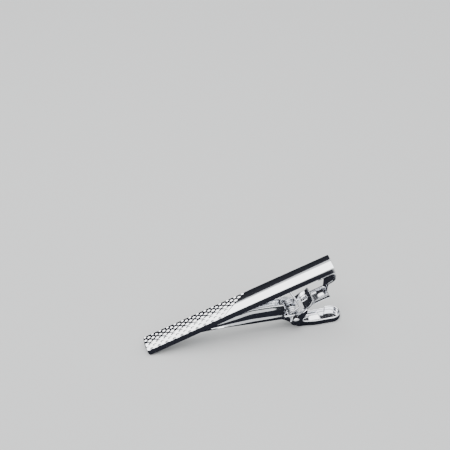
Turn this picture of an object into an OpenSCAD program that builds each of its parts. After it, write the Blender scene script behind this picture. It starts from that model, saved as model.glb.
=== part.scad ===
// Spring tie clip: a long front bar, and behind it a sprung jaw that pinches
// the tie against the bar's back. It stands on the bar's lower end and on the
// thumb lever. Millimetres. X runs from the bar's free end to its bent end,
// Y runs across the bar, Z is up. The origin is under the middle of the clip,
// on the surface that it stands on.

/* [Front bar] */
// Length of the bar
bar_len = 58; // [57.5:0.1:58.5]
// Width of the bar
bar_w = 6; // [5:0.1:7]
// Height of the bar's flat sides
bar_side = 2; // [1.6:0.1:2.4]
// Rise of the crowned face above the sides
bar_crown = 0.4; // [0.2:0.05:0.6]
// Slope of the bar as the clip stands
bar_tilt = 19.3; // [19.1:0.1:19.8]
// Corner radius at the free end
bar_corner = 0.9; // [0.4:0.1:1.5]

/* [Return strip] */
// Thickness of the strip soldered to the bar's back
strip_t = 0.7; // [0.5:0.05:0.8]
// Half width of the strip where it leaves the bar
strip_half = 2.8; // [2.4:0.1:2.9]
// Half width of the strip's tongue
tongue_half = 1.4; // [1:0.1:1.7]
// Length of the pad soldered to the bar
pad_len = 4.15; // [3.5:0.05:4.4]

/* [Clasp] */
// Sheet thickness of the bracket and the jaw
sheet = 0.5; // [0.4:0.05:0.6]
// Half width of the bracket across its ears
ear_half = 3.7; // [3.6:0.05:4]
// Half width of the neck
neck_half = 2.4; // [2.2:0.1:2.6]
// Half width of the jaw at its ears
jaw_half = 2.25; // [2.1:0.05:2.4]
// Half width of the thumb lever
lever_half = 2.8; // [2.5:0.1:2.9]
// Height of the lever's rim
lever_rim = 1.9; // [1.4:0.1:2.2]

/* [Hinge and spring] */
// Distance of the pin ahead of the clip's middle
pin_x = 14.8; // [14.6:0.1:15]
// Height of the pin
pin_z = 3.95; // [3.8:0.05:4.1]
// Diameter of the pin
pin_d = 1.2; // [1:0.1:1.4]
// Radial clearance of the jaw on the pin
pin_play = 0.05; // [0.03:0.01:0.08]
// Diameter of the spring wire
wire_d = 0.6; // [0.5:0.05:0.65]
// Mean radius of the spring's coil
coil_r = 1.45; // [1.35:0.05:1.5]

/* [Hidden] */
$fn = 48;
eps = 0.01;
wide = 20;                          // longer than the clip is wide

// The bar's lower corner at its free end, from which the bar rises
half_len = 29.07;
bar_foot = [-half_len + (bar_side + bar_crown) * sin(bar_tilt), 0];
crown_r = (pow(bar_w / 2, 2) + pow(bar_crown, 2)) / (2 * bar_crown);

// Ears, plates and their places
ear_t = 0.6;                        // the bracket's ears, thicker than its sheet
ear_r = 1.7;                        // round end of the bracket's ears
hub_r = 1.35;                       // round end of the jaw's ears
head_r = 1;                         // pin heads
head_t = 0.5;
slot_half = 2.6;                    // window in the saddle, which the jaw passes
slot_end = pin_x + 3.05;
rim_t = 0.5;                        // the lever's rim
neck_wall = 0.45;
neck_rim = 0.8;                     // neck walls above the neck's floor
neck_len = 7.3;
wall_len = 4.9;                     // neck walls, at the neck's far end
trough_end = pin_x - 3.2;           // back end of the jaw's trough
tip_x = -15.4;                      // the jaw's tip

// Spring: turns round the pin from its fixed leg to its lever leg
coil_half = 1.25;                   // half the coil's length, centre to centre
fixed_angle = 125;                  // where the fixed leg meets the coil
lever_angle = 1330;                 // where the lever leg leaves it
wire_sides = 8;

// A point of the bar's back: along the bar, and out from its back
function bar_pt(along, out) =
    bar_foot + [along * cos(bar_tilt) - out * sin(bar_tilt),
                along * sin(bar_tilt) + out * cos(bar_tilt)];

// A sheet's middle line: each leg is a length and the turn made over it
function turn_step(p, h, len) = p + len * [cos(h), sin(h)];
function bend(p, h, len, turn, n) = n == 0 ? [] :
    let (q = turn_step(p, h + turn / n / 2, len / n))
    concat([q], bend(q, h + turn / n, len * (n - 1) / n, turn * (n - 1) / n, n - 1));
function last(list) = list[len(list) - 1];
function walk(p, h, legs, i = 0) = i == len(legs) ? [p] :
    let (n = legs[i][1] == 0 ? 1 : ceil(abs(legs[i][1]) / 12))
    let (part = bend(p, h, legs[i][0], legs[i][1], n))
    concat([p], [for (k = [0:1:n - 2]) part[k]],
           walk(last(part), h + legs[i][1], legs, i + 1));
function arc_len(r, turn) = r * abs(turn) * PI / 180;

// The outline of a sheet of thickness t about a middle line
function unit(v) = v / norm(v);
function side_of(line, i) =
    let (a = line[max(i - 1, 0)], b = line[min(i + 1, len(line) - 1)])
    let (d = unit(b - a)) [-d[1], d[0]];
function sheet_outline(line, t) =
    concat([for (i = [0:len(line) - 1]) line[i] + side_of(line, i) * t / 2],
           [for (i = [len(line) - 1:-1:0]) line[i] - side_of(line, i) * t / 2]);

// A symmetrical outline, from its near points
function both_sides(pts) = concat(pts, [for (i = [len(pts) - 1:-1:0]) [pts[i][0], -pts[i][1]]]);

// Bends of the return strip, from the pad under the bar to the neck's floor
strip_start = bar_pt(bar_len - 5.6, -strip_t / 2);
strip_legs = [[pad_len, 0],
              [arc_len(0.9, 90 + bar_tilt), -90 - bar_tilt],
              [0.75, 0],
              [arc_len(2, 42), -42],
              [1.6, 0],
              [arc_len(1.2, 37), 37],
              [3, 0],
              [arc_len(1, 85 - bar_tilt), bar_tilt - 85],
              [1.7, 0]];
strip_line = walk(strip_start, bar_tilt, strip_legs);
tongue_end = last(strip_line);
// Half widths of the strip at heights above the surface it stands on
strip_widths = [[21, strip_half], [17, strip_half], [13.3, tongue_half + 0.15], [7, tongue_half]];

// The neck's floor lies under the tongue and runs parallel to the bar
neck_dir = [cos(bar_tilt), sin(bar_tilt)];
neck_up = [-sin(bar_tilt), cos(bar_tilt)];
neck_foot = tongue_end - neck_up * (strip_t / 2 + sheet);
neck_end_x = 25.25;
neck_right = (neck_end_x - neck_foot[0]) / neck_dir[0];

// The saddle's middle line, up from beside the pin to its curled end
saddle_start = [pin_x - 1.35, pin_z - 0.05];
saddle_line = walk(saddle_start, 38, [[4.6, 0], [2.2, -6], [arc_len(1.2, 40), 40], [1.3, 0]]);
// Half widths of the saddle at places along X
saddle_widths = [[pin_x - 3, ear_half], [pin_x + 1.5, ear_half], [pin_x + 5, 3], [pin_x + 7, 3]];

// The jaw's trough: its underside and rim from the side, and its half widths from above
trough_low = 3.8;
jaw_under = [[tip_x, 3.4], [-10, 3.8], [-4.5, 4], [1.5, 3.85], [trough_end, trough_low]];
jaw_rim = [[trough_end, 9.15], [6, 9.15], [2.8, 9.1], [-2.6, 7.6], [-9, 5.85], [tip_x, 4.35]];
jaw_widths = [[tip_x, 0.7], [tip_x + 1, 1.2], [-8, 1.7], [2, 2.1], [trough_end, jaw_half]];
hollow_x = tip_x + 3;               // the trough's solid nose ends here
hollow_z = 4.2;
hollow_half = 0.6;

// Fixed leg and lever leg of the spring, as points [x, y, z]
fixed_bend = [pin_x + 1.8, -coil_half, pin_z + 3.05];
fixed_tip = [pin_x - 0.45, 1.4, pin_z + 6.7];
lever_leg_z = sheet + wire_d / 2 + 0.02;

// Draws a shape of the XZ plane as a plate from y0 to y0 + t
module upright(y0, t) {
    translate([0, y0 + t, 0]) rotate([90, 0, 0]) linear_extrude(t) children();
}

module across_pin(r, y0, y1) {
    translate([pin_x, y1, pin_z]) rotate([90, 0, 0]) cylinder(h = y1 - y0, r = r);
}

// A round wire through the given points
function wire_dir(path, i) = unit(path[min(i + 1, len(path) - 1)] - path[max(i - 1, 0)]);
function wire_ring(path, i, r) =
    let (d = wire_dir(path, i))
    let (a = unit(cross(d, abs(d[1]) < 0.9 ? [0, 1, 0] : [1, 0, 0])))
    let (b = cross(d, a), turn = 360 / wire_sides)
    [for (k = [0:wire_sides - 1]) path[i] + r * (a * cos(k * turn) + b * sin(k * turn))];

module wire(path, r) {
    n = len(path);
    rings = [for (i = [0:n - 1]) each wire_ring(path, i, r)];
    caps = [[for (k = [0:wire_sides - 1]) k],
            [for (k = [wire_sides - 1:-1:0]) (n - 1) * wire_sides + k]];
    skins = [for (i = [0:n - 2], k = [0:wire_sides - 1])
        [i * wire_sides + k, (i + 1) * wire_sides + k,
         (i + 1) * wire_sides + (k + 1) % wire_sides, i * wire_sides + (k + 1) % wire_sides]];
    polyhedron(points = rings, faces = concat(caps, skins), convexity = 6);
}

function coil_pt(a) =
    [pin_x + coil_r * cos(a),
     -coil_half + 2 * coil_half * (a - fixed_angle) / (lever_angle - fixed_angle),
     pin_z + coil_r * sin(a)];

// Bar: flat back, upright sides, crowned face, rounded corners at the free end
module bar_plan() {
    translate([bar_corner, -bar_w / 2]) square([bar_len - bar_corner, bar_w]);
    translate([0, bar_corner - bar_w / 2]) square([bar_len / 2, bar_w - 2 * bar_corner]);
    for (s = [-1, 1]) translate([bar_corner, s * (bar_w / 2 - bar_corner)]) circle(r = bar_corner);
}

module front_bar() {
    color("gainsboro")
    translate([bar_foot[0], 0, bar_foot[1]]) rotate([0, -bar_tilt, 0])
    intersection() {
        linear_extrude(bar_side + bar_crown) bar_plan();
        translate([0, 0, bar_side + bar_crown - crown_r]) rotate([0, 90, 0])
            cylinder(h = bar_len, r = crown_r, $fn = 96);
    }
}

// Solder along both edges of the pad
module solder_fillets() {
    fillet = 0.2;
    color("lightgray")
    translate([bar_foot[0], 0, bar_foot[1]]) rotate([0, -bar_tilt, 0])
    for (s = [-1, 1]) translate([bar_len - 5.4, s * strip_half, 0]) rotate([0, 90, 0])
        linear_extrude(pad_len - 0.4)
        polygon([[0, 0], [0, s * fillet], [2 * fillet, 0]]);
}

// Strip: a pad under the bar, a bend at its end, and a tongue in the neck
module return_strip() {
    color("silver")
    intersection() {
        upright(-wide / 2, wide) polygon(sheet_outline(strip_line, strip_t));
        rotate([90, 0, 90]) linear_extrude(wide * 2)
            polygon([for (p = both_sides(strip_widths)) [p[1], p[0]]]);
    }
}

// Bracket: a channel neck, a saddle with a window, and two ears for the pin
module saddle() {
    intersection() {
        upright(-ear_half, 2 * ear_half) polygon(sheet_outline(saddle_line, sheet));
        linear_extrude(wide) difference() {
            polygon(both_sides(saddle_widths));
            translate([0, -slot_half]) square([slot_end, 2 * slot_half]);
        }
    }
}

module neck() {
    translate([neck_foot[0], 0, neck_foot[1]]) rotate([0, -bar_tilt, 0])
    translate([neck_right - neck_len, 0, 0]) {
        translate([0, -neck_half, 0]) cube([neck_len, 2 * neck_half, sheet]);
        for (y = [-neck_half, neck_half - neck_wall])
            translate([neck_len - wall_len, y, 0]) cube([wall_len, neck_wall, sheet + neck_rim]);
    }
}

module bracket_ear(y0) {
    difference() {
        upright(y0, ear_t) {
            translate([pin_x, pin_z]) circle(r = ear_r);
            polygon([saddle_line[0], saddle_line[1], [pin_x + 3.4, pin_z + 2.6],
                     [pin_x + 1.35, pin_z - 1], [pin_x - 1, pin_z - 1.3]]);
        }
        across_pin(pin_d / 2, y0 - 1, y0 + ear_t + 1);
    }
}

module clasp_bracket() {
    color("silver") {
        saddle();
        neck();
        bracket_ear(-ear_half);
        bracket_ear(ear_half - ear_t);
    }
}

// Pin: a plain shaft riveted over the bracket's ears
module hinge_pin() {
    color("whitesmoke") {
        across_pin(pin_d / 2, -ear_half, ear_half);
        across_pin(head_r, ear_half, ear_half + head_t);
        across_pin(head_r, -ear_half - head_t, -ear_half);
    }
}

// Spring: its coil turns round the pin, and its fixed leg rises through the window
module torsion_spring() {
    coil = [for (a = [fixed_angle:15:lever_angle]) coil_pt(a)];
    fixed_leg = [fixed_tip, (fixed_tip + fixed_bend) / 2, fixed_bend + [-0.15, 0.25, 0.35], fixed_bend];
    color("lightsteelblue") wire(concat(fixed_leg, coil, [coil_pt(lever_angle)]), wire_d / 2);
}

// The spring's other leg, which presses the lever down
module spring_lever_leg() {
    start = coil_pt(lever_angle);
    away = [-sin(lever_angle), 0, cos(lever_angle)];
    drop = (lever_leg_z - start[2]) / away[2];
    down = start + away * drop;
    color("lightsteelblue")
    wire([start + away * 0.05, down - away * 0.3, down + [0.3, 0, 0], down + [3, 0, 0]], wire_d / 2);
}

// Jaw and lever: one stamping with a trough, two ears and a dished thumb lever
module trough() {
    difference() {
        intersection() {
            upright(-jaw_half, 2 * jaw_half) polygon(concat(jaw_under, jaw_rim));
            linear_extrude(wide) polygon(both_sides(jaw_widths));
        }
        intersection() {
            upright(-jaw_half, 2 * jaw_half)
                polygon(concat([[hollow_x, hollow_z]], [for (i = [2:4]) jaw_under[i] + [0, sheet]],
                               [[trough_end + 1, trough_low + sheet], [trough_end + 1, wide], [hollow_x, wide]]));
            linear_extrude(wide)
                polygon(both_sides(concat([[hollow_x, hollow_half]],
                                          [for (i = [2:4]) jaw_widths[i] - [0, sheet]],
                                          [[trough_end + 1, jaw_half - sheet]])));
        }
    }
}

module jaw_ear(y0, high) {
    difference() {
        upright(y0, sheet) {
            translate([pin_x, pin_z]) circle(r = hub_r);
            polygon([[trough_end - eps, 3.4], [trough_end - eps, high ? 9.12 : 5],
                     [pin_x - 1, high ? 8.5 : 5.1], [pin_x + 0.3, high ? 8.1 : 5],
                     [pin_x + 1.3, 4.4], [pin_x + 2.9, lever_rim], [pin_x + 4, lever_rim],
                     [pin_x + 4, 0.1], [pin_x + 1, 0.1]]);
        }
        across_pin(pin_d / 2 + pin_play, y0 - 1, y0 + sheet + 1);
    }
}

module web_link() {
    upright(-jaw_half, 2 * jaw_half)
    polygon([[trough_end - 0.5, trough_low + sheet], [trough_end - 0.5, trough_low - 0.25], [pin_x + 1, 0], [pin_x + 3, 0],
             [pin_x + 3, sheet], [pin_x + 1.3, sheet], [trough_end, trough_low]]);
}

// The lever's outline; the far side is narrower up to a step
module lever_plan(inset) {
    tip = half_len - lever_half;
    near = inset - lever_half;
    polygon([[pin_x + 2.4 + inset, inset - jaw_half], [pin_x + 6.5, near], [tip, near],
             [tip, lever_half - inset], [tip - 1, lever_half - inset], [tip - 1.6, jaw_half - inset],
             [pin_x + 2.4 + inset, jaw_half - inset]]);
    translate([tip, 0]) circle(r = lever_half - inset);
}

module lever() {
    difference() {
        linear_extrude(lever_rim) lever_plan(0);
        translate([0, 0, sheet]) linear_extrude(lever_rim) {
            lever_plan(rim_t);
            translate([pin_x + 2, rim_t - jaw_half]) square([2, 2 * (jaw_half - rim_t)]);
        }
    }
}

module jaw_lever() {
    color("silver") {
        trough();
        jaw_ear(-jaw_half, false);
        jaw_ear(jaw_half - sheet, true);
        web_link();
        lever();
    }
}

front_bar();
solder_fillets();
return_strip();
clasp_bracket();
hinge_pin();
torsion_spring();
spring_lever_leg();
jaw_lever();
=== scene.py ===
import math

import bmesh
import bpy
import numpy as np
from mathutils import Matrix, Vector


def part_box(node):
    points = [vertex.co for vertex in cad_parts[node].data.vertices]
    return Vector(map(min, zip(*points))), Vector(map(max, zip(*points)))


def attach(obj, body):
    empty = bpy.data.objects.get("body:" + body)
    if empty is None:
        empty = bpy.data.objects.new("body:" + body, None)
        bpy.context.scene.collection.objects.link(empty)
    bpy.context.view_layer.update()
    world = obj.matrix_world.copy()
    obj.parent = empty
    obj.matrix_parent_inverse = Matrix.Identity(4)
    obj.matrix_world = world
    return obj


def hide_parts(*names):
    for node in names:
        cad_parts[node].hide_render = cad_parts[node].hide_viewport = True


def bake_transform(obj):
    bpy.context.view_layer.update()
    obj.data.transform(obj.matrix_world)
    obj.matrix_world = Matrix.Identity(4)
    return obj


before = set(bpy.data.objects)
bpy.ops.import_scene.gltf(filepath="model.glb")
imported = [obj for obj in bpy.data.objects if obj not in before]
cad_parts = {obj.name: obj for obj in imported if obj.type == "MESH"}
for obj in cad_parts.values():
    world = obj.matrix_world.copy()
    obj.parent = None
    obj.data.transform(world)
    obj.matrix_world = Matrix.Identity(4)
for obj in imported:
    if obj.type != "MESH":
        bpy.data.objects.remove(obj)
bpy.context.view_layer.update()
MM = 0.001


def box_mm(node):
    low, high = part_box(node)
    return np.array(low) / MM, np.array(high) / MM


# ---------------------------------------------------------------- places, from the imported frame
TILT = math.radians(19.3)  # slope of the bar as the clip stands
ALONG = np.array([math.cos(TILT), 0, math.sin(TILT)])
OUT = np.array([-math.sin(TILT), 0, math.cos(TILT)])  # out of the bar's face
ACROSS = np.array([0, 1.0, 0])
BAR_LEN, BAR_HALF, BAR_SIDE, BAR_CROWN = 58.0, 3.0, 2.0, 0.4
bar_low = box_mm("front_bar")[0]
FOOT = np.array([bar_low[0] + (BAR_SIDE + BAR_CROWN) * math.sin(TILT), 0, 0])
pin_low, pin_high = box_mm("hinge_pin")
PIN = (pin_low + pin_high) / 2
jaw_low, jaw_high = box_mm("jaw_lever")


def on_bar(along, across, out):
    """A point given along, across and out from the foot of the bar's back."""
    return FOOT + along * ALONG + across * ACROSS + out * OUT


# ---------------------------------------------------------------- mesh helpers
def smooth_curve(points):
    """A smooth function through (x, value) points, with no overshoot."""
    x, y = np.array(points, float).T
    d = np.diff(y) / np.diff(x)
    m = np.zeros_like(y)
    inner = d[:-1] * d[1:] > 0
    m[1:-1][inner] = 2 * d[:-1][inner] * d[1:][inner] / (d[:-1] + d[1:])[inner]
    m[0], m[-1] = d[0], d[-1]

    def value(at):
        at = min(max(at, x[0]), x[-1])
        i = min(int(np.searchsorted(x, at, side="right")) - 1, len(x) - 2)
        h = x[i + 1] - x[i]
        t = (at - x[i]) / h
        return float(
            y[i] * (1 + 2 * t) * (1 - t) ** 2
            + h * m[i] * t * (1 - t) ** 2
            + y[i + 1] * t * t * (3 - 2 * t)
            + h * m[i + 1] * t * t * (t - 1)
        )

    return value


def shifted(origin, points):
    """Points for smooth_curve, given from an origin."""
    return [(origin + x, value) for x, value in points]


def smoothstep(x, low, high):
    """Rises from 0 at low to 1 at high."""
    t = min(max((x - low) / (high - low), 0), 1)
    return t * t * (3 - 2 * t)


RIM_SHARE = 0.97  # size of a flat end's inner ring


def loft(rings, rim=False):
    """Vertices and faces of a closed skin over rings of equal length.

    rim draws a second ring just inside each end, which keeps flat ends flat in shading.
    """
    rings = [np.asarray(r, float) for r in rings]
    n = len(rings[0])
    faces = [
        [i * n + k, i * n + (k + 1) % n, (i + 1) * n + (k + 1) % n, (i + 1) * n + k]
        for i in range(len(rings) - 1)
        for k in range(n)
    ]
    verts = list(np.concatenate(rings))
    for first, flip in ((0, True), ((len(rings) - 1) * n, False)):
        cap = [first + k for k in range(n)]
        if rim:
            ring = np.array(verts[first : first + n])
            inner = len(verts)
            verts += list(ring.mean(0) + (ring - ring.mean(0)) * RIM_SHARE)
            band = [
                [first + k, first + (k + 1) % n, inner + (k + 1) % n, inner + k] for k in range(n)
            ]
            faces += [f[::-1] for f in band] if flip else band
            cap = [inner + k for k in range(n)]
        faces.append(cap[::-1] if flip else cap)
    return np.array(verts), faces


def joined(*parts):
    """Several (vertices, faces) as one."""
    verts, faces, base = [], [], 0
    for v, f in parts:
        verts.append(np.asarray(v, float))
        faces += [[i + base for i in face] for face in f]
        base += len(v)
    return np.concatenate(verts), faces


def make(name, skin, sharp=40, weld=0.0):
    """A mesh object from (vertices in mm, faces), normals outward, smooth up to sharp degrees."""
    verts, faces = skin
    mesh = bpy.data.meshes.new(name)
    mesh.from_pydata((verts * MM).tolist(), [], faces)
    bm = bmesh.new()
    bm.from_mesh(mesh)
    if weld:
        bmesh.ops.remove_doubles(bm, verts=bm.verts, dist=weld * MM)
        bmesh.ops.dissolve_degenerate(bm, edges=bm.edges, dist=weld * MM / 4)
    bmesh.ops.recalc_face_normals(bm, faces=bm.faces)
    bm.to_mesh(mesh)
    bm.free()
    obj = bpy.data.objects.new(name, mesh)
    bpy.context.scene.collection.objects.link(obj)
    shade(obj, sharp)
    return obj


def shade(obj, sharp):
    obj.data.polygons.foreach_set("use_smooth", [True] * len(obj.data.polygons))
    obj.data.set_sharp_from_angle(angle=math.radians(sharp))


def apply_modifiers(obj, sharp=40):
    """Put the modifiers' result in the mesh, so that the export has it too."""
    bpy.context.view_layer.update()
    done = bpy.data.meshes.new_from_object(
        obj.evaluated_get(bpy.context.evaluated_depsgraph_get())
    )
    obj.modifiers.clear()
    old, obj.data = obj.data, done
    done.name = obj.name
    bpy.data.meshes.remove(old)
    shade(obj, sharp)


def bevel(obj, width, limit=50):
    """Round the edges that are sharper than limit degrees."""
    m = obj.modifiers.new("edge", "BEVEL")
    m.width, m.segments, m.limit_method = width * MM, 3, "ANGLE"
    m.angle_limit = math.radians(limit)
    m.use_clamp_overlap = True


def cut(obj, other):
    """Take other out of obj."""
    m = obj.modifiers.new("cut", "BOOLEAN")
    m.operation, m.solver, m.object = "DIFFERENCE", "EXACT", other
    apply_modifiers(obj)
    bpy.data.objects.remove(other)


def arc(cx, cz, r, a0, a1, n):
    """n points of an arc, degrees, in a plane."""
    return [
        (cx + r * math.cos(math.radians(a)), cz + r * math.sin(math.radians(a)))
        for a in np.linspace(a0, a1, n)
    ]


def rounded_section(half, thick, r):
    """A closed rounded rectangle, as (across, out) points."""
    h = thick / 2
    out = []
    for cx, cz, a in (
        (half - r, h - r, 0),
        (r - half, h - r, 90),
        (r - half, r - h, 180),
        (half - r, r - h, 270),
    ):
        out += arc(cx, cz, r, a, a + 90, 4)
    return out


def walk(start, heading, legs, step=4.0):
    """A line through legs of (length, turn in degrees): points and headings, in the XZ plane."""
    p, h = np.array(start, float), heading
    line = [(p.copy(), h)]
    for length, turn in legs:
        n = max(int(math.ceil(abs(turn) / step)), int(math.ceil(length / 0.6)))
        for _ in range(n):
            mid = math.radians(h + turn / n / 2)
            p = p + length / n * np.array([math.cos(mid), math.sin(mid)])
            h += turn / n
            line.append((p.copy(), h))
    return line


def normal_of(heading):
    """The left-hand normal of a heading, in the XZ plane."""
    return np.array([-math.sin(math.radians(heading)), 0, math.cos(math.radians(heading))])


def bend(r, turn):
    """A leg for walk that turns at radius r."""
    return (r * abs(math.radians(turn)), turn)


def rounded_path(a, b, c, r):
    """Points of a path from a to c whose corner at b is rounded to radius r."""
    a, b, c = (np.array(p, float) for p in (a, b, c))
    u, v = (a - b) / np.linalg.norm(a - b), (c - b) / np.linalg.norm(c - b)
    half = math.acos(float(np.clip(u @ v, -1, 1))) / 2
    back = r / math.tan(half)
    centre = b + (u + v) / np.linalg.norm(u + v) * (r / math.sin(half))
    s, e = b + u * back - centre, b + v * back - centre
    w = math.pi - 2 * half
    corner = [
        centre + (math.sin((1 - t) * w) * s + math.sin(t * w) * e) / math.sin(w)
        for t in np.linspace(0, 1, 10)
    ]
    return [a] + corner + [c]


WIRE_SIDES, WIRE_END_R = 16, 0.06


def tube(path, radius):
    """A round wire along a path, its frame carried along without twist, its ends rounded."""
    path = [np.array(p, float) for p in path]
    tangents = []
    for i in range(len(path)):
        d = path[min(i + 1, len(path) - 1)] - path[max(i - 1, 0)]
        tangents.append(d / np.linalg.norm(d))
    side = np.cross(tangents[0], [0.3, 1.0, 0.2])  # any direction that the path doesn't start in
    side /= np.linalg.norm(side)
    stations = []
    for p, t in zip(path, tangents):
        side = side - (side @ t) * t
        side /= np.linalg.norm(side)
        stations.append((p, t, side.copy(), np.cross(t, side)))
    rings = []

    def ring(p, a, b, r):
        rings.append(
            [
                p + r * (math.cos(w) * a + math.sin(w) * b)
                for w in np.linspace(0, 2 * math.pi, WIRE_SIDES, endpoint=False)
            ]
        )

    def rounded_end(station, way, angles):
        p, t, a, b = station
        for w in np.radians(angles):
            drawn_in = WIRE_END_R * (1 - math.cos(w))
            ring(p + way * t * WIRE_END_R * math.sin(w), a, b, radius - drawn_in)

    rounded_end(stations[0], -1, (90, 60, 30))
    for p, _, a, b in stations:
        ring(p, a, b, radius)
    rounded_end(stations[-1], 1, (30, 60, 90))
    return loft(rings)


# ---------------------------------------------------------------- bar
KNURL_U, KNURL_Y = 1.175, 0.77  # half diagonals of a diamond
KNURL_START = (0.5, 2.57)  # centre of the first diamond
KNURL_EDGE = 27  # the groove at which the knurling ends
KNURL_GROUND = 0.09  # depth of the flat ground between the pillows
PILLOW_RISE, PILLOW = 0.2, 0.74  # height of a pillow, and its share of its diamond
FINE = 8  # mesh steps to half a diamond
FREE_END_R, BENT_END_R = 0.3, 0.35  # edges across the bar's two ends
CORNER_R, FOOT_R, EDGE_R = 0.9, 0.12, 0.15  # free corners, lower long edges, upper long edges
crown_r = (BAR_HALF**2 + BAR_CROWN**2) / (2 * BAR_CROWN)


def crown(y):
    """Height of the plain face above the bar's back."""
    return BAR_SIDE + math.sqrt(crown_r**2 - min(abs(y), BAR_HALF) ** 2) - crown_r + BAR_CROWN


def knurl(u, y):
    """How far the knurled part lies below the crown: pillows standing on flat ground."""
    a, b = (u - KNURL_START[0]) / KNURL_U, (y - KNURL_START[1]) / KNURL_Y
    p, q = a + b, a - b
    if q > KNURL_EDGE:
        return KNURL_GROUND * max(0.0, 1 - (q - KNURL_EDGE) / 0.25)
    p, q = (p + 1) % 2 - 1, (q + 1) % 2 - 1
    reach = (p**4 + q**4) ** 0.25 / PILLOW
    return KNURL_GROUND - PILLOW_RISE * max(1 - reach**2, 0) ** 2


def end_inset(along, r):
    """How far a rounded end has drawn in, at a distance from it."""
    return 0.0 if along >= r else r - math.sqrt(max(r * r - (r - along) ** 2, 0))


def bar_stations():
    """Places along the bar: close together at its ends and in step with the knurling."""
    knurl_end = KNURL_START[0] + (KNURL_EDGE + 3) * KNURL_U
    count = (KNURL_EDGE + 3) * FINE
    along = [0, 0.012, 0.035, 0.075, 0.13]
    along += [KNURL_START[0] + i * KNURL_U / FINE for i in range(-2, count)]
    along += list(np.linspace(knurl_end + 0.5, BAR_LEN - 0.5, 24))
    return along + [
        BAR_LEN - BENT_END_R * (1 - math.sin(math.radians(a))) for a in range(0, 91, 10)
    ]


def bar_skin():
    rows = [KNURL_START[1] + j * KNURL_Y / FINE for j in range(-70, 10)]
    rows = [y for y in rows if abs(y) <= BAR_HALF - EDGE_R - 0.02]
    rings = []
    for u in bar_stations():
        inset = max(end_inset(u, FREE_END_R), end_inset(BAR_LEN - u, BENT_END_R))
        w = BAR_HALF - end_inset(u, CORNER_R) - max(inset - 0.1, 0)
        squeeze = w / BAR_HALF

        def top(y):
            return crown(y * squeeze) - knurl(u, y * squeeze) - inset

        side_step = (BAR_SIDE - 2 * inset - FOOT_R - EDGE_R) / 3
        side = arc(w - FOOT_R, inset + FOOT_R, FOOT_R, -72, 0, 5)
        side += [(w, inset + FOOT_R + side_step * k) for k in (1, 2)]
        edge = [(w - EDGE_R + y, z) for y, z in arc(0, 0, EDGE_R, 0, 75, 4)]
        far_dip, near_dip = (top(y) - EDGE_R * 0.9 for y in (BAR_HALF, -BAR_HALF))
        ring = [(y, inset) for y in np.linspace(FOOT_R - w, w - FOOT_R, 4)]
        ring += side + [(y, far_dip + z) for y, z in edge]
        ring += [(y * squeeze, top(y)) for y in rows[::-1]]
        ring += [(-y, near_dip + z) for y, z in edge[::-1]] + [(-y, z) for y, z in side[::-1]]
        rings.append([on_bar(u, y, n) for y, n in ring])
    return loft(rings, rim=True)


bar = make("bar", bar_skin(), sharp=22)


# ---------------------------------------------------------------- return strip
STRIP_T, STRIP_EDGE_R = 0.7, 0.28
PAD_START = 5.6  # from the bent end of the bar
# Half width at a height above the floor: tongue, waist, and full width at the bar
strip_width = smooth_curve(
    [(7, 1.4), (9.8, 1.4), (13.3, 1.6), (15.2, 2.3), (17, 2.78), (21, 2.8)]
)
strip_turn = math.degrees(TILT)
strip_line = walk(
    on_bar(BAR_LEN - PAD_START, 0, -STRIP_T / 2)[[0, 2]],
    strip_turn,
    [
        (4.15, 0),  # the pad under the bar
        bend(0.9, -90 - strip_turn),
        (0.75, 0),
        bend(2, -42),
        (1.6, 0),
        bend(1.2, 37),
        (3, 0),  # the drop to the neck
        bend(1, strip_turn - 85),
        (1.7, 0),  # the tongue
    ],
)


def strip_skin():
    rings = []
    for p, h in strip_line:
        centre = np.array([p[0], 0, p[1]])
        section = rounded_section(strip_width(p[1]), STRIP_T, STRIP_EDGE_R)
        rings.append([centre + y * ACROSS + n * normal_of(h) for y, n in section])
    return loft(rings)


strip = make("return_strip_bent", strip_skin())
bevel(strip, 0.15)
apply_modifiers(strip)


# ---------------------------------------------------------------- bracket: neck, saddle and ears
SHEET = 0.5
tongue = strip_line[-1][0]
neck_foot = np.array([tongue[0], 0, tongue[1]]) - OUT * (STRIP_T / 2 + SHEET)
NECK_REACH = 10.45  # from the pin to the neck's open end
neck_shift = (PIN[0] + NECK_REACH - neck_foot[0]) / ALONG[0]
NECK_LEN, WALL_LEN, NECK_HALF, NECK_WALL = 7.3, 4.9, 2.4, 1.3
NECK_T = 0.46


def thick_outline(line, t):
    """A closed outline, round at its ends, about an open line of (across, out) points."""
    line = np.array(line, float)
    d = np.gradient(line, axis=0)
    d /= np.linalg.norm(d, axis=1)[:, None]
    side = np.stack([-d[:, 1], d[:, 0]], 1)
    left, right = line + side * t / 2, line - side * t / 2
    ends = []
    for at, toward in ((-1, 1), (0, -1)):
        a0 = math.atan2(side[at, 1] * toward, side[at, 0] * toward)
        ends.append(
            [
                line[at] + t / 2 * np.array([math.cos(a0 - w), math.sin(a0 - w)])
                for w in np.linspace(0, math.pi, 5)[1:-1]
            ]
        )
    return list(left) + ends[0] + list(right[::-1]) + ends[1]


def channel(half, wall, r):
    """The middle line of a channel's section, from one wall's top to the other's."""
    side = half - NECK_T / 2
    rise = max(wall - 0.45, r + 0.02)
    line = [(-side, z) for z in np.linspace(rise, r, 4)]
    line += arc(-side + r, r, r, 180, 270, 6)[1:]
    line += [(y, 0) for y in np.linspace(-side + r, side - r, 7)[1:-1]]
    line += arc(side - r, r, r, 270, 360, 6)
    line += [(side, z) for z in np.linspace(r, rise, 4)[1:]]
    return line


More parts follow.
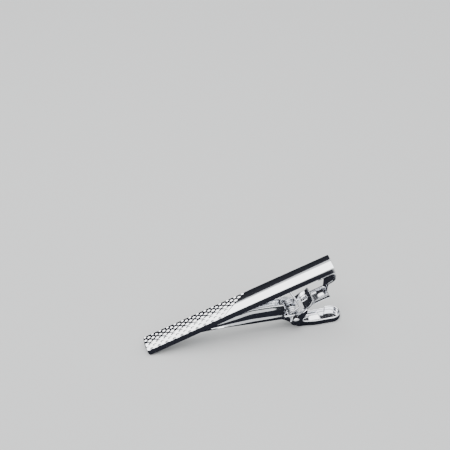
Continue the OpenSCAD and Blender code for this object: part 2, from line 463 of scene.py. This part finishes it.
def neck_skin():
    """The neck: flat behind the saddle, then a channel whose open end flares a little."""
    starts = NECK_LEN - WALL_LEN
    wall = smooth_curve(
        [(0, 0.3), (starts, 0.34), (starts + 0.35, NECK_WALL), (NECK_LEN, NECK_WALL)]
    )
    flare = smooth_curve([(0, 0), (NECK_LEN - 1.0, 0), (NECK_LEN - 0.4, 0.16), (NECK_LEN, 0.5)])
    stations = np.concatenate(
        [
            np.linspace(0, starts, 8),
            np.linspace(starts, starts + 0.4, 7)[1:],
            np.linspace(starts + 0.4, NECK_LEN - 1.5, 6)[1:],
            np.linspace(NECK_LEN - 1.5, NECK_LEN, 10)[1:],
        ]
    )
    rings = []
    for s in stations:
        f = flare(s)
        line = [
            (y * (1 + f * 0.08), z - f * 0.35 + f * 0.75 * min(z, 1))
            for y, z in channel(NECK_HALF, wall(s), 0.45 if s > starts else 0.2)
        ]
        origin = neck_foot + (neck_shift - NECK_LEN + s) * ALONG + OUT * SHEET / 2
        rings.append([origin + y * ACROSS + z * OUT for y, z in thick_outline(line, NECK_T)])
    return loft(rings)


EAR_HALF, EAR_IN, EAR_R, EAR_EDGE_R = 3.7, 3.1, 1.7, 0.12
WINDOW_HALF, WINDOW_END = 2.35, PIN[0] + 2.6
SIDE_ROWS, WINDOW_ROWS = 9, 33  # mesh rows beside the window and across it
saddle_line = walk(
    (PIN[0] - 1.35, PIN[2] - 0.05), 38, [(4.6, 0), (2.3, -6), bend(1.3, 36), (1.25, 0)], 3
)
saddle_half = smooth_curve(
    shifted(
        PIN[0], [(-3, EAR_HALF), (1.4, EAR_HALF), (3.4, 3.35), (4.6, 3.1), (5.1, 2.95), (7, 2.7)]
    )
)
# Rise of the dish from its middle to its rim: a slope, a crease and the rim
far_dish = smooth_curve(
    [(0, 0), (0.3, 0.01), (0.9, 0.2), (1.6, 0.48), (1.85, 0.52), (2.05, 0.52), (2.6, 0.7),
     (3.1, 0.82), (3.7, 0.85)]
)
near_dish = smooth_curve([(0, 0), (1.2, 0.02), (2.2, 0.1), (2.6, 0.24), (3.1, 0.42), (3.7, 0.5)])


def dish(y):
    return far_dish(y) if y > 0 else near_dish(-y)


def saddle_skin():
    """The saddle: a dished sheet with a window over the spring, as one closed skin."""
    beside = WINDOW_HALF / EAR_HALF
    shares = np.concatenate(
        [
            np.linspace(-1, -beside, SIDE_ROWS),
            np.linspace(-0.6, 0.6, WINDOW_ROWS),
            np.linspace(beside, 1, SIDE_ROWS),
        ]
    )
    top, low = [], []
    for p, h in saddle_line:
        half = saddle_half(p[0])
        fade = smoothstep(p[0], PIN[0] + 0.6, PIN[0] + 3.6)
        lip = smoothstep(p[0], PIN[0] + 4.4, PIN[0] + 5.0)
        for y in shares * half:
            rise = fade * (dish(y) - 0.3) * (1 - 0.55 * lip)
            slope = fade * (dish(y + 0.05) - dish(y - 0.05)) / 0.1
            middle = np.array([p[0], 0, p[1]]) + y * ACROSS + rise * normal_of(h)
            face = normal_of(h) - slope * ACROSS
            face /= np.linalg.norm(face)
            top.append(middle + face * SHEET / 2)
            low.append(middle - face * SHEET / 2)
    rows, cols = len(saddle_line), len(shares)

    def there(i, j):
        if not (0 <= i < rows - 1 and 0 <= j < cols - 1):
            return False
        in_window = SIDE_ROWS - 1 <= j < cols - SIDE_ROWS
        return not (in_window and saddle_line[i][0][0] < WINDOW_END)

    verts = top + low
    base = rows * cols
    faces = []
    for i in range(rows - 1):
        for j in range(cols - 1):
            if not there(i, j):
                continue
            a, d = i * cols + j, (i + 1) * cols + j
            b, c = a + 1, d + 1
            faces += [[a, b, c, d], [base + d, base + c, base + b, base + a]]
            sides = (((-1, 0), (b, a)), ((1, 0), (d, c)), ((0, -1), (a, d)), ((0, 1), (c, b)))
            for (di, dj), (e, f) in sides:
                if not there(i + di, j + dj):
                    faces.append([e, f, base + f, base + e])
    used = sorted({v for f in faces for v in f})
    order = {v: k for k, v in enumerate(used)}
    return np.array(verts)[used], [[order[v] for v in f] for f in faces]


def ear_skin(sign):
    """An ear, as a plate whose edge is slightly rounded."""
    outline = [(p[0], p[1] + 0.12) for p, _ in saddle_line if p[0] < PIN[0] + 3.3][::-1]
    outline += arc(PIN[0], PIN[2], EAR_R, 178, 318, 26)
    outline += [(PIN[0] + x, PIN[2] + z) for x, z in ((2.3, 0.55), (3.0, 1.75), (3.45, 2.75))]
    outline = np.array(outline)
    middle = outline.mean(0)
    reach = np.linalg.norm(outline - middle, axis=1)[:, None]
    rings = []
    edge = [(0, EAR_EDGE_R), (EAR_EDGE_R * 0.3, EAR_EDGE_R * 0.3), (EAR_EDGE_R, 0)]
    inner = [(EAR_IN + y, inset) for y, inset in edge]
    outer = [(EAR_HALF - y, inset) for y, inset in edge[::-1]]
    for y, inset in inner + outer:
        at = middle + (outline - middle) * (1 - inset / reach)
        rings.append([np.array([x, sign * y, z]) for x, z in at])
    return loft(rings, rim=True)


bracket = make("bracket", joined(saddle_skin(), ear_skin(-1), ear_skin(1), neck_skin()))
bevel(bracket, 0.11, 55)
apply_modifiers(bracket)


# ---------------------------------------------------------------- pin, riveted over both ears
def turned(profile):
    """A body of revolution about the pin's axis; profile is (radius, place along the axis)."""
    angles = np.linspace(0, 2 * math.pi, 48, endpoint=False)
    return loft(
        [
            [PIN + np.array([r * math.cos(a), y - PIN[1], r * math.sin(a)]) for a in angles]
            for r, y in profile
        ]
    )


BORE_R = 0.65
head_r = (pin_high[0] - pin_low[0]) / 2
# Half the pin from the top of its domed head, as (radius, distance below the top)
half_pin = [
    (0.03, 0), (0.2, 0.01), (0.4, 0.05), (0.58, 0.12), (0.74, 0.2), (0.87, 0.3), (0.96, 0.39),
    (head_r, 0.46), (0.97, 0.5), (0.62, 0.5), (0.6, 0.52),
]
half_pin = [(r, pin_high[1] - below) for r, below in half_pin]
pin_profile = [(r, -y) for r, y in half_pin] + half_pin[::-1]
pin = make("hinge_pin_riveted", turned(pin_profile), sharp=50)


# ---------------------------------------------------------------- spring
WIRE, COIL_R, COIL_HALF = 0.3, 1.45, 1.25  # radii of the wire and the coil, half its length
FIXED_ANGLE, LEVER_ANGLE = 125, 1330  # where the coil starts and ends, degrees round the pin


def coil_point(a):
    w = math.radians(a)
    share = (a - FIXED_ANGLE) / (LEVER_ANGLE - FIXED_ANGLE)
    across = -COIL_HALF + 2 * COIL_HALF * share
    return np.array([PIN[0] + COIL_R * math.cos(w), across, PIN[2] + COIL_R * math.sin(w)])


fixed_bend = PIN + np.array([1.8, -COIL_HALF, 3.05])
fixed_tip = PIN + np.array([-0.45, 1.4, 6.7])
fixed_path = rounded_path(fixed_tip, fixed_bend, coil_point(FIXED_ANGLE), 0.6)
fixed_leg = make("spring_fixed_leg", tube(fixed_path + [coil_point(FIXED_ANGLE + 4)], WIRE))

coil_end = coil_point(LEVER_ANGLE)
away = normal_of(LEVER_ANGLE)
leg_z = SHEET + WIRE + 0.02  # just above the lever's floor
leg_down = coil_end + away * (leg_z - coil_end[2]) / away[2]
leg_tip = leg_down + np.array([3.2, 0, 0])
coil_path = [coil_point(a) for a in np.arange(FIXED_ANGLE - 2, LEVER_ANGLE, 7.5)]
coil = make("spring_coil", tube(coil_path + rounded_path(coil_end, leg_down, leg_tip, 1.2), WIRE))


# ---------------------------------------------------------------- jaw and lever, one stamping
tip, heel, far_end = jaw_low[0], PIN[0] - 3.2, jaw_high[0]
LEVER_HALF, JAW_HALF, RIM_Z = 2.8, 2.25, 1.9
T = 0.5  # sheet thickness
RIM = [(-9, 5.85), (-2.6, 7.6), (2.8, 9.1), (6, 9.15)]  # the trough's rim, the same on both sides
TROUGH_HALF = shifted(tip, [(0, 0.42), (0.2, 0.72), (1, 1.2)])
TROUGH_HALF += [(-8, 1.7), (2, 2.1), (heel, JAW_HALF)]
LEVER_RIM = shifted(PIN[0], [(2.6, 2.15), (3.3, RIM_Z)]) + [(far_end, RIM_Z)]
shape = {
    # The underside, the two rims, the two half widths and the sheet on the bottom, along X
    "low": shifted(tip, [(0, 3.55), (0.3, 3.42)])
    + [(-10, 3.8), (-4.5, 4.0), (1.5, 3.86)]
    + shifted(heel, [(-0.9, 3.7), (0.4, 3.25)])
    + shifted(PIN[0], [(0.2, 0.75), (1.3, 0.06), (2.1, 0)])
    + [(far_end, 0)],
    "near": shifted(tip, [(0, 4.1), (0.35, 4.42)])
    + RIM
    + shifted(heel, [(-0.25, 9.15), (-0.02, 9.0), (0.06, 5.3), (0.25, 5.02)])
    + shifted(PIN[0], [(0.3, 5.0), (1.3, 4.4)])
    + LEVER_RIM,
    "far": shifted(tip, [(0, 4.1), (0.35, 4.42)])
    + RIM
    + [(heel, 9.15)]
    + shifted(PIN[0], [(-1, 8.5), (0.15, 8.05), (0.4, 7.4), (1.2, 4.6)])
    + LEVER_RIM,
    "near_half": TROUGH_HALF
    + shifted(PIN[0], [(2.4, JAW_HALF), (6.5, LEVER_HALF)])
    + [(far_end, LEVER_HALF)],
    "far_half": TROUGH_HALF
    + shifted(far_end - LEVER_HALF, [(-1.6, JAW_HALF), (-1.0, LEVER_HALF)])
    + [(far_end, LEVER_HALF)],
    "floor": shifted(tip, [(0, 0.55), (0.6, 0.98), (1.6, 0.9), (3, 0.55)])
    + [(-4.5, T), (heel, T), (heel + 1, 0.62)]
    + shifted(PIN[0], [(1, 0.62), (2.2, T), (8.6, T + 0.1), (10.5, T)])
    + [(far_end, T - 0.02)],
    # Radius of the bend between bottom and walls
    "round": [(tip, 0.25), (tip + 2, 0.6), (-4, 0.85), (heel - 2, 1.0), (heel + 1, 0.7)]
    + [(PIN[0] + 2, 0.6), (far_end, 0.6)],
    # How far the trough's walls draw in above a step near the bottom, and again below the rim
    "step": [(tip, 0), (tip + 2, 0.12), (-8, 0.34), (-2, 0.38), (4, 0.36)]
    + shifted(heel, [(-1.5, 0.27), (-0.1, 0.22), (0.3, 0)])
    + [(far_end, 0)],
    "curl": [(tip, 0), (tip + 3, 0.1), (-6, 0.3), (2, 0.36), (7, 0.34)]
    + shifted(heel, [(-1.5, 0.2), (-0.1, 0.16), (0.3, 0)])
    + [(far_end, 0)],
}
shape = {k: smooth_curve(v) for k, v in shape.items()}


def pad(x, y):
    """The raised pad on the lever's floor, its top sloping a little to the front."""
    x -= PIN[0]
    ends = smoothstep(x, 4.6, 5.6) * (1 - smoothstep(x, 7.95, 8.25))
    sides = 1 - smoothstep(abs(y + 0.1), 0.85, 1.1)
    return (0.1 + 0.1 * (y + 1)) * ends * sides


def u_section(x):
    """The closed section of the stamping at x, as (across, height) points."""
    at_x = {k: curve(x) for k, curve in shape.items()}
    low, zn, zf, wn, wf = (at_x[k] for k in ("low", "near", "far", "near_half", "far_half"))
    floor = min(low + at_x["floor"], min(zn, zf) - 0.03)
    r = min(at_x["round"], 0.8 * (min(zn, zf) - low), 0.9 * min(wn, wf))
    ri = max(min(r - T * 0.7, 0.9 * (min(zn, zf) - floor)), 0.02)
    tn = min(T, wn * 0.8)
    rim = tn / 2 * 0.98

    def drawn_in(z, top):
        high = top - low
        step = at_x["step"] * smoothstep(z, low + 0.22 * high, low + 0.42 * high)
        curl = at_x["curl"] * smoothstep(z, top - 0.3 * high, top - 0.06 * high)
        return step + curl

    def outer(w, top, sign):
        pts = [(w - drawn_in(z, top), z) for z in np.linspace(top - rim, low + r, 19)]
        pts += arc(w - r, low + r, r, 0, -90, 9)[1:]
        return [(sign * y, z) for y, z in pts]

    def inner(w, top, sign):
        wi = w - tn
        flat = [k * (wi - ri) for k in (0.2, 0.4, 0.5, 0.6, 0.8)]
        pts = [(y, floor + pad(x, sign * y)) for y in flat]
        pts += arc(wi - ri, floor + ri, ri, -90, 0, 9)
        pts += [(wi - drawn_in(z, top), z) for z in np.linspace(floor + ri, top - rim, 14)[1:]]
        reach = drawn_in(top, top)
        pts += arc(w - tn / 2 - reach, top - rim, rim, 180, 0, 7)[1:-1]
        return [(sign * y, z) for y, z in pts]

    section = outer(wn, zn, -1) + [(0.0, low)] + outer(wf, zf, 1)[::-1]
    section += inner(wf, zf, 1)[::-1] + [(0.0, floor + pad(x, 0))] + inner(wn, zn, -1)
    return section


def jaw_skin():
    """The stamping: sections along X, then the lever's round end turned about its own axis."""
    end = far_end - LEVER_HALF
    xs = np.concatenate(
        [
            tip + np.array([0, 0.04, 0.1, 0.18, 0.28, 0.4, 0.6, 0.8, 1.0, 1.3, 1.6, 2.0, 2.5, 3.0]),
            np.linspace(tip + 3.5, heel - 0.8, 40),
            np.linspace(heel - 0.6, heel + 0.5, 28),
            np.linspace(heel + 0.7, PIN[0] + 4, 40),
            np.linspace(PIN[0] + 4.3, PIN[0] + 7.8, 14),
            np.linspace(PIN[0] + 7.95, PIN[0] + 8.3, 6),
            [PIN[0] + 8.6, PIN[0] + 9.0],
            np.linspace(end - 1.7, end - 0.85, 14),
            np.linspace(end - 0.6, end, 4),
        ]
    )
    rings = [[np.array([x, y, z]) for y, z in u_section(x)] for x in xs]
    verts, faces = loft(rings)
    body = (verts, faces[:-1])  # open where the round end goes on
    section = u_section(end)
    bottom_mid, floor_mid = [k for k, (y, z) in enumerate(section) if y == 0]
    half = section[floor_mid:] + section[: bottom_mid + 1]
    fan = [
        np.array([[end - y * math.sin(a), y * math.cos(a), z] for y, z in half])
        for a in np.linspace(0, math.pi, 33)
    ]
    m = len(half)
    faces = [
        [i * m + k, i * m + k + 1, (i + 1) * m + k + 1, (i + 1) * m + k]
        for i in range(len(fan) - 1)
        for k in range(m - 1)
    ]
    return joined(body, (np.concatenate(fan), faces))


jaw = make("jaw_and_lever", jaw_skin(), weld=0.002)
cut(jaw, make("hole", turned([(BORE_R, -4), (BORE_R, 4)])))


# ---------------------------------------------------------------- solder along the pad
def solder_skin(sign):
    """An uneven bead along one side of the pad."""
    rings = []
    for s in np.linspace(0, 1, 26):
        u = BAR_LEN - 5.4 + 3.75 * s
        r = 0.3 * math.sin(math.pi * min(max(s, 0.001), 0.999)) ** 0.3
        r *= 1 + 0.16 * math.sin(9 * s + sign) + 0.08 * math.sin(23 * s + 2 * sign)
        ring = []
        for a in np.linspace(0, 2 * math.pi, 14, endpoint=False):
            across = sign * (2.74 + r * 0.8 * math.cos(a))
            ring.append(on_bar(u, across, -0.12 + min(r * 0.75 * math.sin(a), 0.12)))
        rings.append(ring)
    return loft(rings)


solder = make("solder", joined(solder_skin(-1), solder_skin(1)), sharp=60)


# ---------------------------------------------------------------- materials
def chrome(name, colour, rough, waves, grain, worn):
    """Plated metal: faint clouds, fine scratches along the grain, a slightly wavy face."""
    m = bpy.data.materials.new(name)
    m.use_nodes = True
    nodes, links = m.node_tree.nodes, m.node_tree.links
    shader = nodes["Principled BSDF"]
    shader.inputs["Metallic"].default_value = 1.0
    where = nodes.new("ShaderNodeTexCoord")
    stretch = nodes.new("ShaderNodeMapping")
    stretch.inputs["Scale"].default_value = grain
    links.new(where.outputs["Object"], stretch.inputs["Vector"])

    def noise(scale, detail, source):
        n = nodes.new("ShaderNodeTexNoise")
        n.inputs["Scale"].default_value = scale
        n.inputs["Detail"].default_value = detail
        links.new(source, n.inputs["Vector"])
        return n.outputs["Fac"]

    def ramp(fac, stops):
        r = nodes.new("ShaderNodeValToRGB")
        for element, stop in zip(r.color_ramp.elements, stops):
            element.position, element.color = stop
        links.new(fac, r.inputs["Fac"])
        return r.outputs["Color"]

    cloud = noise(260, 4, where.outputs["Object"])
    dark = tuple(c * (1 - worn) for c in colour) + (1,)
    tint = ramp(cloud, [(0.35, dark), (0.62, tuple(colour) + (1,))])
    links.new(tint, shader.inputs["Base Color"])
    fine = noise(5200, 3, stretch.outputs["Vector"])
    low, high = (rough * 0.55,) * 3 + (1,), (rough * 1.7,) * 3 + (1,)
    edges = nodes.new("ShaderNodeNewGeometry").outputs["Pointiness"]
    rubbed = ramp(edges, [(0.52, (0, 0, 0, 1)), (0.6, (0.09, 0.09, 0.09, 1))])
    total = nodes.new("ShaderNodeMix")
    total.data_type, total.blend_type = "RGBA", "ADD"
    total.inputs["Factor"].default_value = 1
    links.new(ramp(fine, [(0.3, low), (0.75, high)]), total.inputs[6])  # A
    links.new(rubbed, total.inputs[7])  # B
    links.new(total.outputs[2], shader.inputs["Roughness"])
    wave = noise(170, 1, where.outputs["Object"])
    bump = nodes.new("ShaderNodeBump")
    bump.inputs["Strength"].default_value = waves
    bump.inputs["Distance"].default_value = 0.0001
    links.new(wave, bump.inputs["Height"])
    scratch = nodes.new("ShaderNodeBump")
    scratch.inputs["Strength"].default_value = 0.05
    scratch.inputs["Distance"].default_value = 0.00002
    links.new(fine, scratch.inputs["Height"])
    links.new(bump.outputs["Normal"], scratch.inputs["Normal"])
    links.new(scratch.outputs["Normal"], shader.inputs["Normal"])
    return m


# name, colour, roughness, strength of the waves, grain, how much darker the clouds are
bar_chrome = chrome("bar_chrome", (0.88, 0.89, 0.91), 0.05, 0.10, (1, 6, 6), 0.08)
clasp_chrome = chrome("clasp_chrome", (0.84, 0.85, 0.88), 0.07, 0.1, (1, 5, 5), 0.14)
wire_steel = chrome("spring_steel", (0.80, 0.81, 0.84), 0.09, 0.15, (1, 4, 4), 0.16)
pin_steel = chrome("pin_steel", (0.86, 0.87, 0.89), 0.08, 0.3, (1, 1, 1), 0.12)
solder_metal = chrome("solder_metal", (0.78, 0.79, 0.82), 0.16, 0.6, (1, 1, 1), 0.2)

for piece, material, slot, nodes in (
    (bar, bar_chrome, "bar_chrome", ["front_bar"]),
    (strip, clasp_chrome, "clasp_chrome", ["return_strip"]),
    (bracket, clasp_chrome, "clasp_chrome", ["clasp_bracket"]),
    (pin, pin_steel, "pin_steel", ["hinge_pin"]),
    (fixed_leg, wire_steel, "spring_steel", ["torsion_spring"]),
    (coil, wire_steel, "spring_steel", ["torsion_spring", "spring_lever_leg"]),
    (jaw, clasp_chrome, "clasp_chrome", ["jaw_lever"]),
    (solder, solder_metal, "solder", ["solder_fillets"]),
):
    piece.data.materials.clear()
    piece.data.materials.append(material)
    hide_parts(*nodes)

for piece in (bar, strip, bracket, pin, fixed_leg, solder):
    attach(piece, "bar")
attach(jaw, "jaw")
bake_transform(coil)


# ---------------------------------------------------------------- stage, lights and camera
def plate(name, corners, colour, strength=None):
    """A flat piece of the stage, which shines if it has a strength."""
    mesh = bpy.data.meshes.new(name)
    mesh.from_pydata([tuple(np.array(c, float) * MM) for c in corners], [], [[0, 1, 2, 3]])
    obj = bpy.data.objects.new(name, mesh)
    bpy.context.scene.collection.objects.link(obj)
    m = bpy.data.materials.new(name)
    m.use_nodes = True
    shader = m.node_tree.nodes["Principled BSDF"]
    shader.inputs["Base Color"].default_value = (*colour, 1)
    shader.inputs["Roughness"].default_value = 0.9
    shader.inputs["Specular IOR Level"].default_value = 0.1
    if strength is not None:
        shader.inputs["Emission Color"].default_value = (*colour, 1)
        shader.inputs["Emission Strength"].default_value = strength
        shader.inputs["Base Color"].default_value = (0, 0, 0, 1)
    mesh.materials.append(m)
    return obj


PALE = (0.8, 0.8, 0.79)
plate("floor", [(-900, -700, 0), (900, -700, 0), (900, 1100, 0), (-900, 1100, 0)], PALE)


def only_reflected(obj):
    """Make a card one that the metal mirrors and the camera doesn't see."""
    obj.visible_camera = False
    obj.visible_diffuse = False
    obj.visible_shadow = False
    obj.visible_transmission = False
    obj.visible_volume_scatter = False


# The navy cards paint dark reflections: the metal mirrors them where it would mirror the pale floor
# and the bright room, while the camera, the diffuse light and the shadows pass through them
NAVY, WHITE = (0.006, 0.007, 0.013), (1, 1, 1)
SKY_Z, SKY_STRENGTH = 330, 4.5
under = [(-150, -36, 0.02), (33.6, -36, 0.02), (33.6, 40, 0.02), (-150, 40, 0.02)]
behind = [(-150, 38, 0), (62, 38, 0), (62, 66, 72), (-150, 66, 72)]
sky = [(-400, -400, SKY_Z), (300, -400, SKY_Z), (300, 300, SKY_Z), (-400, 300, SKY_Z)]
only_reflected(plate("card_under", under, NAVY))
only_reflected(plate("card_behind", behind, NAVY))
only_reflected(plate("sky_card", sky, WHITE, SKY_STRENGTH))

world = bpy.data.worlds.new("studio")
bpy.context.scene.world = world
world.use_nodes = True
background = world.node_tree.nodes["Background"]
background.inputs["Color"].default_value = (0.96, 0.98, 1.0, 1)
background.inputs["Strength"].default_value = 1.1


light = bpy.data.lights.new("top_box", "AREA")
light.shape, light.size, light.size_y, light.energy = "RECTANGLE", 420 * MM, 320 * MM, 0.9
top_box = bpy.data.objects.new("top_box", light)
bpy.context.scene.collection.objects.link(top_box)
top_box.location = Vector((-60, 20, 380)) * MM
top_box.rotation_euler = (-top_box.location).to_track_quat("-Z", "Y").to_euler()

CAMERA_AT = (-62.26, -256.13, 241.29)
AZIMUTH, ELEVATION, ROLL = (math.radians(a) for a in (-12.67, 37.5, -1.4))
camera_data = bpy.data.cameras.new("camera")
camera = bpy.data.objects.new("camera", camera_data)
bpy.context.scene.collection.objects.link(camera)
level = math.cos(ELEVATION)
back = Vector((math.sin(AZIMUTH) * level, -math.cos(AZIMUTH) * level, math.sin(ELEVATION)))
right = Vector((math.cos(AZIMUTH), math.sin(AZIMUTH), 0))
up = back.cross(right)
rolled_right = right * math.cos(ROLL) + up * math.sin(ROLL)
rolled_up = up * math.cos(ROLL) - right * math.sin(ROLL)
turn = Matrix((rolled_right, rolled_up, back)).transposed().to_4x4()
camera.matrix_world = Matrix.Translation(Vector(CAMERA_AT) * MM) @ turn
camera_data.lens, camera_data.sensor_width = 98.4, 36
camera_data.clip_start, camera_data.clip_end = 0.01, 10
bpy.context.scene.camera = camera
